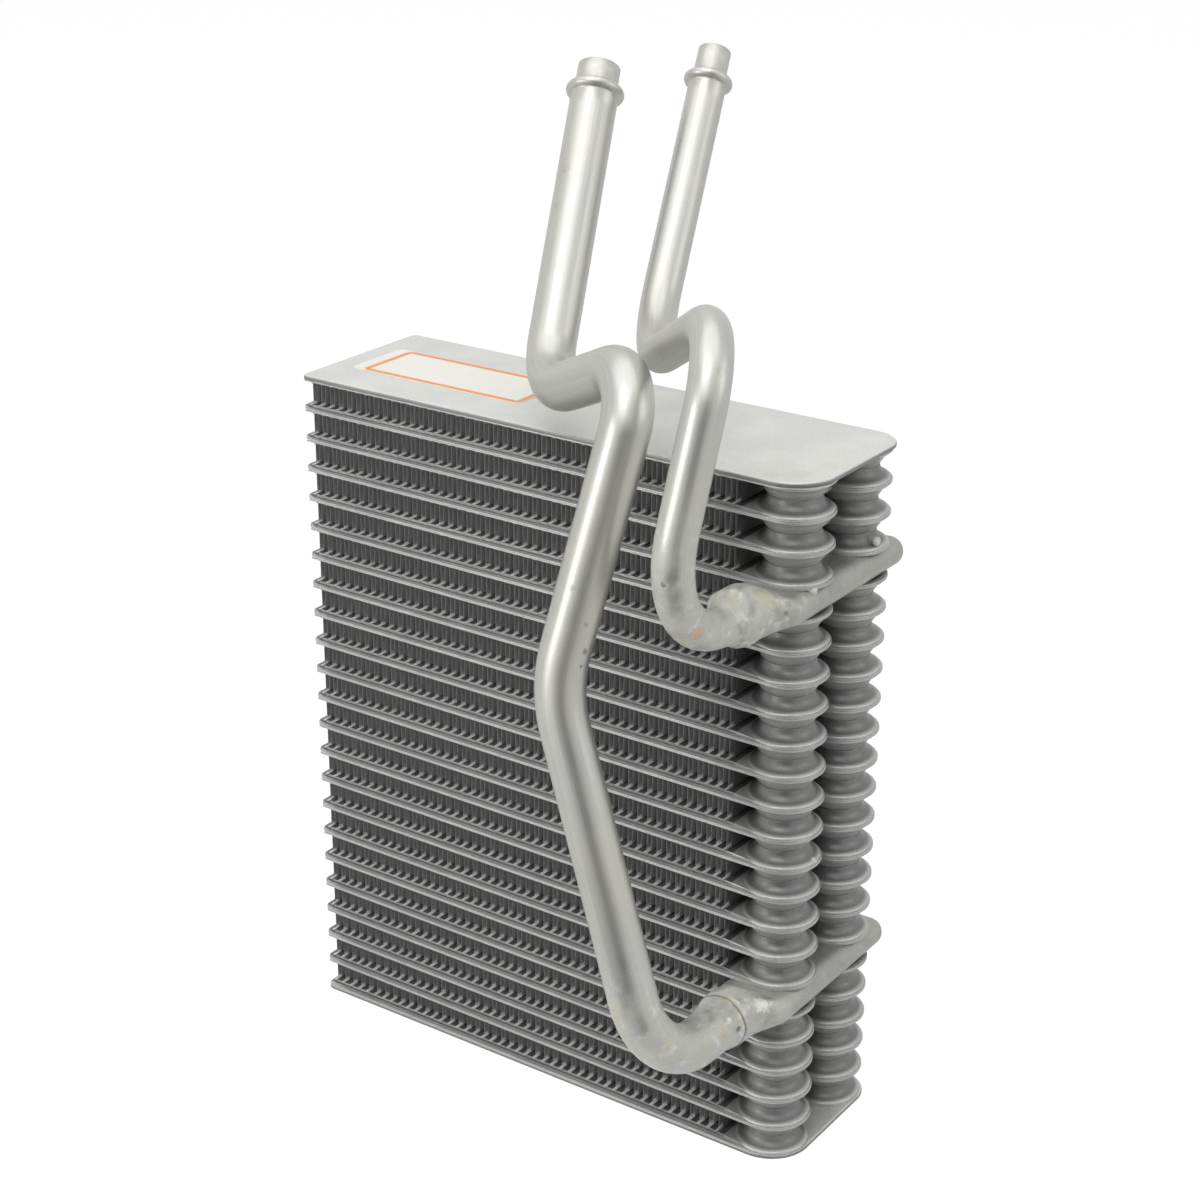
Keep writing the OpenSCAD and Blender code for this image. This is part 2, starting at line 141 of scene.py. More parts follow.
# the paint shines to the camera and in reflections only, so that the floor reads near white
white = tree.nodes.new("ShaderNodeEmission")
white.inputs["Strength"].default_value = 1.12
shine = tally(tree, "MULTIPLY", ray["Is Camera Ray"], 0.85)
shine = tally(tree, "MULTIPLY_ADD", ray["Is Glossy Ray"], 0.7, shine)
mixed = tree.nodes.new("ShaderNodeMixShader")
tree.links.new(shine, mixed.inputs[0])
tree.links.new(pale.outputs[0], mixed.inputs[1])
tree.links.new(white.outputs[0], mixed.inputs[2])
tree.links.new(mixed.outputs[0], tree.nodes.new("ShaderNodeOutputMaterial").inputs["Surface"])
floor_mesh.materials.append(floor_paint)

card_black = bpy.data.materials.new("card_black")
card_black.use_nodes = True
shader = card_black.node_tree.nodes["Principled BSDF"]
shader.inputs["Base Color"].default_value = (0.05, 0.05, 0.05, 1)
shader.inputs["Roughness"].default_value = 0.9


def dark_card(name, distance, height, tilt, wide, high):
    bm = bmesh.new()
    bmesh.ops.create_grid(bm, x_segments=1, y_segments=1, size=0.5)
    bmesh.ops.scale(bm, vec=(wide, high, 1), verts=bm.verts)
    towards_camera = Matrix.Rotation(math.atan2(camera_place.x, -camera_place.y), 4, "Z")
    stood = Matrix.Translation((0, -distance, height)) @ Matrix.Rotation(math.radians(tilt), 4, "X")
    bmesh.ops.transform(bm, matrix=towards_camera @ stood, verts=bm.verts)
    mesh = bpy.data.meshes.new(name)
    bm.to_mesh(mesh)
    bm.free()
    mesh.materials.append(card_black)
    card = bpy.data.objects.new(name, mesh)
    card.visible_camera = False
    card.visible_diffuse = False
    card.visible_shadow = False
    bpy.context.scene.collection.objects.link(card)


dark_card("card_behind_camera", distance=1.5, height=0.3, tilt=90, wide=1.2, high=0.8)
dark_card("card_on_floor", distance=0.66, height=0.003, tilt=0, wide=0.4, high=0.9)


# End plates. Flat aluminium sheet, sheared and with its corners rounded, brazed over the
# first and the last plate to close the stack. The faces carry pale flux haze, and faint
# yellow stains near the tank end.
def cad_copy(name):
    bm = bmesh.new()
    bm.from_mesh(nodes[name].data)
    bmesh.ops.remove_doubles(bm, verts=bm.verts, dist=0.000002)
    bmesh.ops.dissolve_limit(bm, angle_limit=math.radians(0.8), verts=bm.verts, edges=bm.edges)
    return bm


def make_piece(name, bm, material, node, smooth_below=38):
    limit = math.radians(smooth_below)
    for face in bm.faces:
        face.smooth = True
    for edge in bm.edges:
        edge.smooth = len(edge.link_faces) == 2 and edge.calc_face_angle(0) < limit
    mesh = bpy.data.meshes.new(name)
    bm.to_mesh(mesh)
    bm.free()
    mesh.materials.append(material)
    piece = bpy.data.objects.new(name, mesh)
    bpy.context.scene.collection.objects.link(piece)
    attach(piece, "root")
    if node:
        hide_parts(node)


def eased(tree, value, start, end, low=0.0, high=1.0, shape="SMOOTHSTEP"):
    node = tree.nodes.new("ShaderNodeMapRange")
    node.interpolation_type = shape
    feed(tree, value, node.inputs["Value"])
    feed(tree, start, node.inputs["From Min"])
    feed(tree, end, node.inputs["From Max"])
    feed(tree, low, node.inputs["To Min"])
    feed(tree, high, node.inputs["To Max"])
    return node.outputs["Result"]


def tinted(tree, color, mask, tint, mode="MIX"):
    node = tree.nodes.new("ShaderNodeMix")
    node.data_type = "RGBA"
    node.blend_type = mode
    feed(tree, mask, node.inputs["Factor"])
    feed(tree, color, node.inputs["A"])
    feed(tree, tint, node.inputs["B"])
    return node.outputs["Result"]


def clouds(tree, scale, detail, roughness=0.5, vector=None):
    node = tree.nodes.new("ShaderNodeTexNoise")
    feed(tree, scale, node.inputs["Scale"])
    feed(tree, detail, node.inputs["Detail"])
    feed(tree, roughness, node.inputs["Roughness"])
    vector = vector or tree.nodes.new("ShaderNodeTexCoord").outputs["Object"]
    tree.links.new(vector, node.inputs["Vector"])
    return node.outputs["Fac"]


def split(tree, output):
    apart = tree.nodes.new("ShaderNodeSeparateXYZ")
    tree.links.new(tree.nodes.new("ShaderNodeTexCoord").outputs[output], apart.inputs["Vector"])
    return apart.outputs


def shader_group(name, inputs, outputs):
    group = bpy.data.node_groups.new(name, "ShaderNodeTree")
    for socket, kind in inputs:
        group.interface.new_socket(name=socket, in_out="INPUT", socket_type="NodeSocket" + kind)
    for socket, kind in outputs:
        group.interface.new_socket(name=socket, in_out="OUTPUT", socket_type="NodeSocket" + kind)
    given = group.nodes.new("NodeGroupInput").outputs
    result = group.nodes.new("NodeGroupOutput").inputs
    return group, given, result


brazed_skin, given, result = shader_group(
    "brazed_skin",
    (
        ("Tone", "Color"),
        ("Haze", "Color"),
        ("Haze Amount", "Float"),
        ("Patch Size", "Float"),
        ("Roughness", "Float"),
        ("Grain", "Float"),
        ("Upright Shade", "Float"),
    ),
    (("Color", "Color"), ("Roughness", "Float"), ("Height", "Float")),
)
tree = brazed_skin
patches = clouds(tree, tally(tree, "DIVIDE", 1.0, given["Patch Size"]), 5, 0.62)
grain = clouds(tree, 1400, 3)
haze_mask = eased(tree, patches, 0.42, 0.68, shape="LINEAR")
haze_mask = tally(tree, "MULTIPLY", haze_mask, given["Haze Amount"])
hazed = tinted(tree, given["Tone"], haze_mask, given["Haze"])
grain_tone = tally(tree, "MULTIPLY_ADD", tally(tree, "SUBTRACT", grain, 0.5), given["Grain"], 1.0)
# painted shade: faces that stand upright are darkened against level ones by the upright factor, on top
# of the fine grain
level = tally(tree, "ABSOLUTE", split(tree, "Normal")["Z"])
painted_upright_shade = eased(tree, level, 0.3, 0.9, given["Upright Shade"], 1.0, "LINEAR")
grain_and_upright_shade = tally(tree, "MULTIPLY", grain_tone, painted_upright_shade)
rough_shift = eased(tree, patches, 0.0, 1.0, -0.07, 0.1, "LINEAR")
tree.links.new(tinted(tree, hazed, 1.0, grain_and_upright_shade, "MULTIPLY"), result["Color"])
tree.links.new(tally(tree, "ADD", given["Roughness"], rough_shift), result["Roughness"])
tree.links.new(grain, result["Height"])

drop_mark, given, result = shader_group(
    "drop_mark",
    (
        ("Color", "Color"),
        ("Place", "Vector"),
        ("Radius", "Float"),
        ("Mark", "Color"),
        ("Amount", "Float"),
        ("Hollow", "Float"),
    ),
    (("Color", "Color"),),
)
tree = drop_mark
reach = tree.nodes.new("ShaderNodeVectorMath")
reach.operation = "DISTANCE"
tree.links.new(tree.nodes.new("ShaderNodeTexCoord").outputs["Object"], reach.inputs[0])
tree.links.new(given["Place"], reach.inputs[1])
ragged = tally(tree, "MULTIPLY", tally(tree, "SUBTRACT", clouds(tree, 1300, 4), 0.5), 1.8)
share = tally(tree, "ADD", tally(tree, "DIVIDE", reach.outputs["Value"], given["Radius"]), ragged)
covered = eased(tree, share, 1.05, 0.5)
rim_only = eased(tree, share, 0.5, 0.85)
open_middle = tally(tree, "MULTIPLY", given["Hollow"], tally(tree, "SUBTRACT", 1.0, rim_only))
strength = tally(tree, "MULTIPLY", covered, tally(tree, "SUBTRACT", 1.0, open_middle))
strength = tally(tree, "MULTIPLY", strength, given["Amount"])
tree.links.new(tinted(tree, given["Color"], strength, given["Mark"]), result["Color"])


def drop_marks(tree, color, marks):
    for spot, radius, tint, amount, hollow in marks:
        node = tree.nodes.new("ShaderNodeGroup")
        node.node_tree = drop_mark
        node.inputs["Place"].default_value = spot
        node.inputs["Radius"].default_value = radius
        node.inputs["Mark"].default_value = (*tint, 1)
        node.inputs["Amount"].default_value = amount
        node.inputs["Hollow"].default_value = hollow
        tree.links.new(color, node.inputs["Color"])
        color = node.outputs["Color"]
    return color


def skin_of(tree, tone, haze, haze_amount, patch_size, roughness, grain, upright_shade=1.0):
    skin = tree.nodes.new("ShaderNodeGroup")
    skin.node_tree = brazed_skin
    skin.inputs["Tone"].default_value = (*tone, 1)
    skin.inputs["Haze"].default_value = (*haze, 1)
    skin.inputs["Haze Amount"].default_value = haze_amount
    skin.inputs["Patch Size"].default_value = patch_size
    skin.inputs["Roughness"].default_value = roughness
    skin.inputs["Grain"].default_value = grain
    skin.inputs["Upright Shade"].default_value = upright_shade
    return skin.outputs


def relief_from(tree, height, strength, distance):
    relief = tree.nodes.new("ShaderNodeBump")
    relief.inputs["Strength"].default_value = strength
    relief.inputs["Distance"].default_value = distance
    tree.links.new(height, relief.inputs["Height"])
    tree.links.new(relief.outputs["Normal"], tree.nodes["Principled BSDF"].inputs["Normal"])


def brazed_metal(
    name, tone, haze, haze_amount, patch_size, roughness, metallic, bump, upright_shade, overlay
):
    material = bpy.data.materials.new(name)
    material.use_nodes = True
    tree = material.node_tree
    shader = tree.nodes["Principled BSDF"]
    shader.inputs["Metallic"].default_value = metallic
    skin = skin_of(tree, tone, haze, haze_amount, patch_size, roughness, 0.4, upright_shade)
    tree.links.new(overlay(tree, skin["Color"]), shader.inputs["Base Color"])
    tree.links.new(skin["Roughness"], shader.inputs["Roughness"])
    relief_from(tree, skin["Height"], bump, 0.0002)
    return material


def plate_stains(tree, color):
    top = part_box("top_end_plate")[1][2]
    return drop_marks(
        tree,
        color,
        (
            ((0.0905, -0.0205, top), 0.0045, (0.6, 0.54, 0.36), 0.45, 0.3),
            ((0.0835, -0.0262, top), 0.003, (0.6, 0.54, 0.38), 0.45, 0.2),
            ((0.0945, -0.0085, top), 0.0035, (0.62, 0.56, 0.4), 0.45, 0.5),
            ((0.0600, -0.0242, top), 0.0026, (0.62, 0.58, 0.5), 0.3, 0.6),
            ((-0.0100, -0.0265, top), 0.002, (0.6, 0.57, 0.5), 0.3, 0.6),
        ),
    )


# painted shade: the upright faces of the end sheets, their edges, are painted darker than their tops
end_sheet = brazed_metal(
    "end_sheet",
    tone=(0.65, 0.655, 0.63),
    haze=(0.75, 0.745, 0.7),
    haze_amount=0.7,
    patch_size=0.02,
    roughness=0.42,
    metallic=0.45,
    bump=0.12,
    upright_shade=0.36,
    overlay=plate_stains,
)
end_edge_round = 0.0003
end_edge_roll = 0.0007


def softened(bm, rims, offset, segments):
    bmesh.ops.bevel(
        bm,
        geom=rims,
        offset=offset,
        offset_type="OFFSET",
        affect="EDGES",
        segments=segments,
        profile=0.5,
        material=-1,
    )


def sharp_edges(bm):
    return [e for e in bm.edges if len(e.link_faces) == 2 and e.calc_face_angle(0) > 1.0]


for name in ("top_end_plate", "bottom_end_plate"):
    low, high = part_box(name)
    middle = (low[2] + high[2]) / 2
    bm = cad_copy(name)
    upper = [e for e in sharp_edges(bm) if min(vert.co.z for vert in e.verts) > middle]
    softened(bm, upper, end_edge_roll, 4)
    softened(bm, sharp_edges(bm), end_edge_round, 2)
    make_piece(name + "_sheet", bm, end_sheet, name)

# Tubes and cup plates. Two sheets of clad aluminium, stamped with a U-shaped channel and two
# deep round cups, brazed flange to flange. At the turn end the sheets' edges spring apart
# a little. The cups of neighbouring tubes are brazed face to face into the tank columns.
sheet_gauge = 0.0005
joint_half = 0.00002
flare_length = 0.0022
flare_rise = 0.0009
rim_round = 0.00014
rim_radius = 0.013
turn_corner = 0.0025
arc_slack = 0.00004
side_slack = 0.00003
foot_centre = (0.0116, 0.0005)
foot_radius = 0.0009
foot_share = 0.61
flank_wide = 0.00295
flank_high = 0.00333
neck_centre = (0.00795, 0.00473)
neck_radius = 0.00864
neck_bend = 0.0007
crease_centre = (0.00837, 0.00495)
crease_wide = 0.00035
crease_high = 0.00048
bell = ((0.012117, 0.001239), (0.0098, 0.0020), (0.0089, 0.0030), (0.00872, 0.00495))
bowl = ((0.012117, 0.001239), (0.0100, 0.0021), (0.0100, 0.0042), (0.00872, 0.00495))
cup_height = 0.00545
flat_height = 0.0014
tube_low, tube_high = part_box("tube_01")
cup_x = tube_high[0] - rim_radius
cup_aside = tube_high[1] - rim_radius
# dark tint for the painted shade and painted shadow on the cups and the fins
shade_tint = (0.2, 0.2, 0.2)


def groove_shade(tree, color):
    # painted shade: the upward flank of each cup is painted darker towards its neck, and the flat
    # faces that the fins sit on are painted darker
    spot = split(tree, "Object")
    facing = split(tree, "Normal")
    along = tally(tree, "SUBTRACT", spot["X"], cup_x)
    aside = tally(tree, "SUBTRACT", tally(tree, "ABSOLUTE", spot["Y"]), cup_aside)
    square = tally(tree, "ADD", tally(tree, "POWER", along, 2.0), tally(tree, "POWER", aside, 2.0))
    flank_shade = eased(tree, tally(tree, "SQRT", square), 0.0124, 0.0106, 0.0, 0.74)
    flank_shade = tally(tree, "MULTIPLY", flank_shade, eased(tree, facing["Z"], -0.1, 0.12, 0.12, 1.0))
    color = tinted(tree, color, flank_shade, shade_tint, "MULTIPLY")
    seat_low, seat_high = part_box("fin_01")
    fade = 0.0002
    depth = tally(tree, "ABSOLUTE", spot["Y"])
    depth = eased(tree, depth, seat_high[1] + fade, seat_high[1] - fade)
    width = eased(tree, spot["X"], seat_high[0] + fade, seat_high[0] - fade)
    level = eased(tree, tally(tree, "ABSOLUTE", facing["Z"]), 0.85, 0.95, 0.0, 0.85)
    seat_shade = tally(tree, "MULTIPLY", tally(tree, "MULTIPLY", depth, width), level)
    return tinted(tree, color, seat_shade, shade_tint, "MULTIPLY")


tube_sheet = brazed_metal(
    "tube_sheet",
    tone=(0.47, 0.47, 0.46),
    haze=(0.57, 0.57, 0.545),
    haze_amount=0.6,
    patch_size=0.012,
    roughness=0.4,
    metallic=0.5,
    bump=0.15,
    upright_shade=1.0,
    overlay=groove_shade,
)


def on_rim(place):
    aside = abs(place.y)
    if place.x > cup_x + joint_half:
        return math.hypot(place.x - cup_x, aside - cup_aside) > rim_radius - arc_slack
    if place.x < tube_low[0] + turn_corner and aside > tube_high[1] - turn_corner:
        from_corner = (tube_low[0] + turn_corner - place.x, aside - tube_high[1] + turn_corner)
        return math.hypot(*from_corner) > turn_corner - arc_slack
    return aside > tube_high[1] - side_slack or place.x < tube_low[0] + side_slack


def drawn_profile(wide, high, side):
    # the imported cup's rings move to the softer curve of a drawn one: a short bend at the foot,
    # above it a bell that steepens towards the neck, below it a fuller bowl, and a tight crease
    # where the next cup is brazed
    foot_wide, foot_high = wide - foot_centre[0], high - foot_centre[1]
    if foot_wide > -0.00001 and abs(math.hypot(foot_wide, foot_high) - foot_radius) < 0.00005:
        angle = math.atan2(foot_high, foot_wide) * foot_share
        return (
            foot_centre[0] + foot_radius * math.cos(angle),
            foot_centre[1] + foot_radius * math.sin(angle),
        )
    if neck_radius < wide < foot_centre[0]:
        part = math.asin(min(1, (foot_centre[0] - wide) / flank_wide))
        if abs(neck_centre[1] - flank_high * math.cos(part) - high) < 0.0001:
            t = part / (math.pi / 2)
            curve = bell if side > 0 else bowl
            shares = ((1 - t) ** 3, 3 * t * (1 - t) ** 2, 3 * t * t * (1 - t), t**3)
            return tuple(sum(s * end[axis] for s, end in zip(shares, curve)) for axis in (0, 1))
    neck_wide, neck_high = wide - neck_centre[0], high - neck_centre[1]
    if neck_high > 0 and abs(math.hypot(neck_wide, neck_high) - neck_bend) < 0.00005:
        angle = math.atan2(neck_high, neck_wide)
        return (
            crease_centre[0] + crease_wide * math.cos(angle),
            crease_centre[1] + crease_high * math.sin(angle),
        )
    return None


def draw_cups(bm, joint):
    for vert in bm.verts:
        side = 1 if vert.co.z > joint else -1
        high = (vert.co.z - joint) * side - joint_half
        axis_y = math.copysign(cup_aside, vert.co.y)
        arm = Vector((vert.co.x - cup_x, vert.co.y - axis_y))
        drawn = drawn_profile(arm.length, high, side)
        if drawn:
            arm *= drawn[0] / arm.length
            vert.co = (cup_x + arm.x, axis_y + arm.y, joint + side * (drawn[1] + joint_half))


for number in range(23):
    name = {0: "bottom_cup_plate", 22: "top_cup_plate"}.get(number, f"tube_{number:02d}")
    low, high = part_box(name)
    joint = {0: low[2], 22: high[2]}.get(number, (low[2] + high[2]) / 2)
    if number in (5, 18):
        joint = high[2] - flat_height
    if number in (6, 19):
        joint = high[2] - cup_height
    bm = cad_copy(name)
    draw_cups(bm, joint)
    rims = []
    for edge in bm.edges:
        heights = [abs(vert.co.z - joint) for vert in edge.verts]
        flat = abs(heights[0] - heights[1]) < 0.00002 and heights[0] < sheet_gauge + 2 * joint_half
        if flat and all(on_rim(vert.co) for vert in edge.verts) and len(edge.link_faces) == 2:
            if edge.calc_face_angle(0) > 1.0:
                rims.append(edge)
    softened(bm, rims, rim_round, 2)
    for step in (1.0, 0.75, 0.5, 0.25):
        bmesh.ops.bisect_plane(
            bm,
            geom=bm.verts[:] + bm.edges[:] + bm.faces[:],
            plane_co=(low[0] + flare_length * step, 0, 0),
            plane_no=(1, 0, 0),
        )
    if 0 < number < 22:
        for vert in bm.verts:
            reach = (low[0] + flare_length - vert.co.x) / flare_length
            if reach > 0:
                side = 1 if vert.co.z > joint else -1
                vert.co.z += side * flare_rise * reach**2
    make_piece(name + "_sheets", bm, tube_sheet, name)

# Fins. One strip of thin aluminium between each two tubes, rolled into deep folds whose
# flat feet are brazed to the channels and reach past the legs at the front and the back.
# Handling has pushed some folds a little aside.
def edge_shade(tree, color):
    # the faces of the strip that look to the front and back are made darker, and its last leg by the
    # tanks is painted dark, a painted shadow
    slit = tally(tree, "ABSOLUTE", split(tree, "Normal")["Y"])
    slit = eased(tree, slit, 0.7, 0.95, 0.0, 0.8)
    color = tinted(tree, color, slit, (0.3, 0.3, 0.3), "MULTIPLY")
    strip_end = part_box("fin_01")[1][0]
    end_leg_shadow = eased(tree, split(tree, "Object")["X"], strip_end - 0.0034, strip_end - 0.0026, 0.0, 0.85)
    return tinted(tree, color, end_leg_shadow, shade_tint, "MULTIPLY")


# painted shade: the upright legs of the strip are painted darker than its level feet
fin_strip = brazed_metal(
    "fin_strip",
    tone=(0.9, 0.9, 0.89),
    haze=(0.94, 0.94, 0.92),
    haze_amount=0.5,
    patch_size=0.01,
    roughness=0.45,
    metallic=0.2,
    bump=0.1,
    upright_shade=0.5,
    overlay=edge_shade,
)
strip_gauge = 0.00013
fold_half = 0.00195
foot_length = 0.0026
fold_round = 0.0006
leg_heights = (0, 0.15, 0.4, 0.6, 0.85, 1)
depth_steps = 4
foot_reach = 0.003
free_leg = 0.92
free_leg_inset = 0.0002
leg_waver = 0.0001
leg_lean = 0.00015


def drawn_on(bm, vert, step):
    moved = bmesh.ops.extrude_vert_indiv(bm, verts=[vert])["verts"]
    bmesh.ops.translate(bm, vec=step, verts=moved)
    return moved[0]


def folded_strip(low, high, seed):
    # the fold is drawn as one line at the front, its corners are rounded, and the line is
    # pulled back through the core's depth; only the feet go on to the front and back faces
    feet = round((high[0] - low[0]) / fold_half)
    half = (high[0] - low[0]) / feet
    over = (foot_length - half) / 2
    rise = high[2] - low[2] - strip_gauge
    bm = bmesh.new()
    start = (low[0] + free_leg_inset, low[1] + foot_reach, low[2] + free_leg * rise)
    last = bm.verts.new(start)
    last = drawn_on(bm, last, (0, 0, -free_leg * rise))
    bends = [last]
    for foot in range(feet):
        end = low[0] + (foot + 1) * half + over if foot < feet - 1 else high[0] - strip_gauge
        last = drawn_on(bm, last, (end - last.co.x, 0, 0))
        if foot < feet - 1:
            bends.append(last)
            up = 1 if foot % 2 == 0 else -1
            for below, above in zip(leg_heights, leg_heights[1:]):
                lean = over if above <= leg_heights[1] or below >= leg_heights[-2] else 0
                last = drawn_on(bm, last, (-lean, 0, up * rise * (above - below)))
            bends.append(last)
    bmesh.ops.bevel(
        bm,
        geom=bends,
        offset=fold_round,
        offset_type="OFFSET",
        affect="VERTICES",
        segments=3,
        profile=0.5,
        material=-1,
    )
    front = bm.edges[:]
    step = (high[1] - low[1] - 2 * foot_reach) / depth_steps
    back = front
    for _ in range(depth_steps):
        out = bmesh.ops.extrude_edge_only(bm, edges=back)["geom"]
        back = [part for part in out if isinstance(part, bmesh.types.BMEdge)]
        moved = [part for part in out if isinstance(part, bmesh.types.BMVert)]
        bmesh.ops.translate(bm, vec=(0, step, 0), verts=moved)
    for edges, reach in ((front, -foot_reach), (back, foot_reach)):
        ends = [e for e in edges if abs(e.verts[0].co.z - e.verts[1].co.z) < 0.00001]
        out = bmesh.ops.extrude_edge_only(bm, edges=ends)["geom"]
        moved = [part for part in out if isinstance(part, bmesh.types.BMVert)]
        bmesh.ops.translate(bm, vec=(0, reach, 0), verts=moved)
    for vert in bm.verts:
        x, y, z = vert.co
        off = noise.noise(Vector((x * 700, y * 60 + seed * 7.3, seed * 3.1 + z * 60)))
        lean = noise.noise(Vector((x * 90, y * 25 + seed * 5.7, seed * 1.7)))
        free = max(0, 1 - ((2 * (z - low[2]) - rise) / rise) ** 4)
        vert.co.x += (leg_waver * off + leg_lean * lean) * free
    bmesh.ops.recalc_face_normals(bm, faces=bm.faces)
    lowest = min(bm.faces, key=lambda face: face.calc_center_median().z)
    if lowest.normal.z > 0:
        bmesh.ops.reverse_faces(bm, faces=bm.faces)
    bmesh.ops.solidify(bm, geom=bm.faces[:], thickness=strip_gauge)
    bmesh.ops.recalc_face_normals(bm, faces=bm.faces)
    return bm


for number in range(1, 23):
    name = f"fin_{number:02d}"
    low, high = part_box(name)
    bm = folded_strip(low, high, number)
    make_piece(name + "_strip", bm, fin_strip, name, smooth_below=50)

# Manifolds. Tubes flattened between two rows of cups, domed shut at the back and swaged
# round at the front, where each takes its pipe. The socket is filled with braze, and pale
# flux has dried on it.
flux_crust, given, result = shader_group(
    "flux_crust",
    (("Color", "Color"), ("Roughness", "Float"), ("Metallic", "Float"), ("Amount", "Float")),
    (("Color", "Color"), ("Roughness", "Float"), ("Metallic", "Float"), ("Height", "Float")),
)
tree = flux_crust


def flux_patches(scale, detail, low, high):
    patch = eased(tree, clouds(tree, scale, detail, 0.6), low, high)
    return tally(tree, "MULTIPLY", patch, given["Amount"])


def dulled(under, mask, over):
    node = tree.nodes.new("ShaderNodeMix")
    feed(tree, mask, node.inputs["Factor"])
    feed(tree, under, node.inputs["A"])
    feed(tree, over, node.inputs["B"])
    return node.outputs["Result"]


crust = flux_patches(110, 4, 0.3, 0.62)
crusted = tinted(tree, given["Color"], crust, (0.62, 0.62, 0.575))
crusted = tinted(tree, crusted, flux_patches(90, 4, 0.5, 0.75), (0.62, 0.57, 0.4))
crusted = tinted(tree, crusted, flux_patches(260, 4, 0.52, 0.74), (0.76, 0.76, 0.72))
crusted = tinted(tree, crusted, flux_patches(520, 3, 0.68, 0.76), (0.25, 0.23, 0.19))
tree.links.new(crusted, result["Color"])
tree.links.new(dulled(given["Roughness"], crust, 0.6), result["Roughness"])
tree.links.new(dulled(given["Metallic"], crust, 0.1), result["Metallic"])
tree.links.new(crust, result["Height"])


def crusted_metal(tree, color, roughness, amount, metallic, bump, overlay):
    shader = tree.nodes["Principled BSDF"]
    crust = tree.nodes.new("ShaderNodeGroup")
    crust.node_tree = flux_crust
    crust.inputs["Metallic"].default_value = metallic
    tree.links.new(color, crust.inputs["Color"])
    tree.links.new(roughness, crust.inputs["Roughness"])
    tree.links.new(amount, crust.inputs["Amount"])
    tree.links.new(overlay(tree, crust.outputs["Color"]), shader.inputs["Base Color"])
    tree.links.new(crust.outputs["Roughness"], shader.inputs["Roughness"])
    tree.links.new(crust.outputs["Metallic"], shader.inputs["Metallic"])
    relief_from(tree, crust.outputs["Height"], bump, 0.0003)


bar_metal = bpy.data.materials.new("bar_metal")
bar_metal.use_nodes = True
tree = bar_metal.node_tree
near_socket = eased(tree, split(tree, "Object")["Y"], -0.026, -0.040, 0.14, 1.0)
skin = skin_of(tree, (0.34, 0.34, 0.325), (0.46, 0.45, 0.4), 0.7, 0.014, 0.42, 0.4)


def socket_marks(tree, color):
    # a dark line rings the lower barrel where the swage ends, and soot spots both sockets
    spot = split(tree, "Object")
    ring_y = -0.0483
    from_line = tally(tree, "ABSOLUTE", tally(tree, "SUBTRACT", spot["Y"], ring_y))
    lower_bar = eased(tree, spot["Z"], 0.13, 0.12, 0.0, 0.7)
    ring = tally(tree, "MULTIPLY", eased(tree, from_line, 0.0005, 0.0001), lower_bar)
    color = tinted(tree, color, ring, (0.12, 0.115, 0.1))
    return drop_marks(
        tree,
        color,
        (
            ((0.0944, -0.0399, 0.2083), 0.0010, (0.2, 0.18, 0.14), 0.6, 0.0),
            ((0.0971, -0.0360, 0.2070), 0.0012, (0.24, 0.22, 0.17), 0.7, 0.3),
            ((0.0974, -0.0375, 0.2043), 0.0009, (0.2, 0.18, 0.14), 0.7, 0.0),
            ((0.0930, -0.0420, 0.2100), 0.0045, (0.66, 0.62, 0.42), 0.6, 0.0),
            ((0.0884, -0.0502, 0.1956), 0.0012, (0.2, 0.17, 0.12), 0.7, 0.0),
            ((0.0932, -0.0513, 0.0633), 0.0012, (0.14, 0.12, 0.1), 0.8, 0.0),
            ((0.0946, -0.0389, 0.0668), 0.0032, (0.8, 0.79, 0.74), 0.8, 0.0),
        ),
    )


crusted_metal(tree, skin["Color"], skin["Roughness"], near_socket, 0.5, 0.5, socket_marks)
ring_points = 64
bar_half_width = 0.013
bar_half_height = 0.00493
socket_aside = -0.0028
socket_radius = 0.0096
dome_rings = 8
dome_tip = 0.35
flat_rings = 8
swage_rings = 8
swage_length = 0.0115
swage_overlap = 0.0005
crust_start = 0.009
crust_fade = 0.004
crust_lump = 0.00035
crust_sink = 0.0001


def stadium_point(turn, inset):
    # a point of the flattened tube's outline, from 0 to 1 round it
    radius = bar_half_height - inset
    flat = 2 * (bar_half_width - bar_half_height)
    way = (turn * (2 * flat + 2 * math.pi * radius) - flat / 2) % (2 * flat + 2 * math.pi * radius)
    if way < math.pi * radius:
        angle = math.pi / 2 - way / radius
        return flat / 2 + radius * math.cos(angle), radius * math.sin(angle)
    way -= math.pi * radius
    if way < flat:
        return flat / 2 - way, -radius
    way -= flat
    if way < math.pi * radius:
        angle = -math.pi / 2 - way / radius
        return -flat / 2 + radius * math.cos(angle), radius * math.sin(angle)
    return -flat / 2 + way - math.pi * radius, radius


